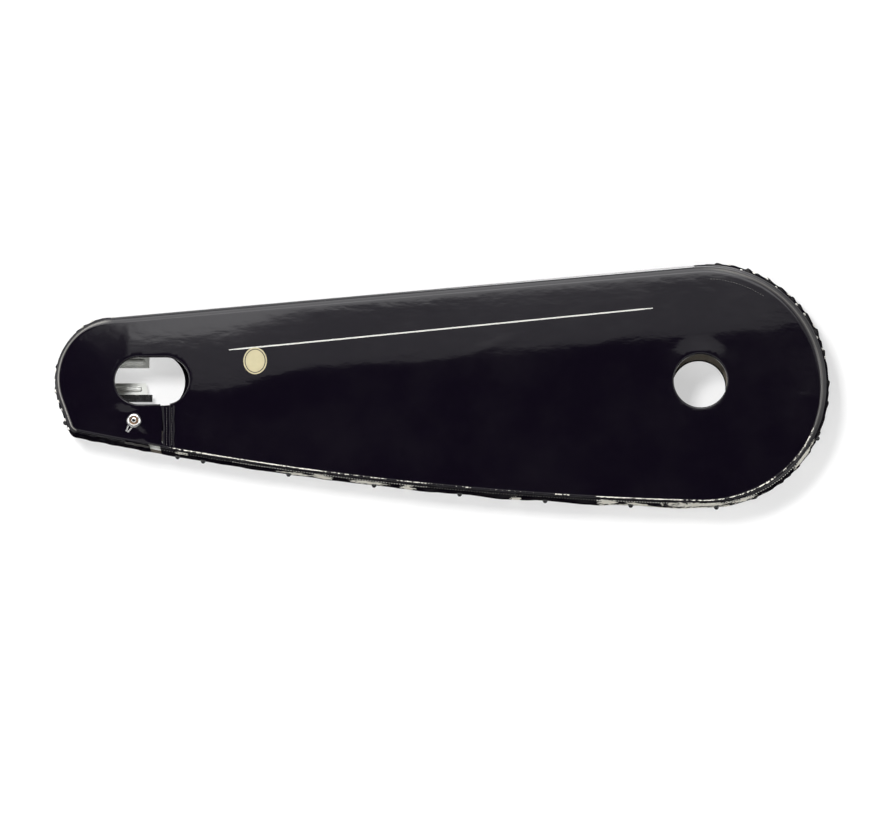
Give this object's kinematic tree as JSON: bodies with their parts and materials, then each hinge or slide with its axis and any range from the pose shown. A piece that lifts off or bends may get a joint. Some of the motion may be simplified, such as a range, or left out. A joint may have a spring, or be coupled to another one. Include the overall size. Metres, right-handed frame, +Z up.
{
  "type": "bicycle chain guard",
  "caption": "Closed bicycle chain guard of glossy black coated cloth over a wire frame, with a round crank hole, an axle slot with a steel fork, and a slit held by a press stud.",
  "frame": {"origin": "on the crank axis, half way through the case from front face to back face", "axes": "+X forward from the rear axle to the crank, -Y outward to the face that shows, +Z up"},
  "size_m": [0.7018, 0.0466, 0.2259],
  "materials": {
    "coated_cloth": "glossy black coated cloth",
    "frame_wire": "drawn steel wire, zinc coated",
    "fork_steel": "pressed steel, zinc coated",
    "black_strip": "black enamelled strip",
    "stud_chrome": "bright plated",
    "stud_brass": "plain brass",
    "black_rivet": "black enamelled"
  },
  "bodies": {
    "root": {"front_cover": "coated_cloth", "back_panel": "coated_cloth", "crank_end_hem": "coated_cloth", "bottom_hem": "coated_cloth", "tail_hem": "coated_cloth", "slit_binding": "coated_cloth", "slit_tongue": "coated_cloth", "front_wire": "frame_wire", "back_wire": "frame_wire", "frame_spacers": "frame_wire", "back_stays": "frame_wire", "axle_fork": "fork_steel", "fork_strip": "black_strip", "fork_rivets": "fork_steel", "stud_cap": "stud_chrome", "stud_socket": "stud_brass", "stud_ball": "stud_brass", "stud_eyelet": "stud_brass", "stud_hairpin": "stud_chrome", "hem_rivets": "black_rivet"}
  },
  "joints": []
}
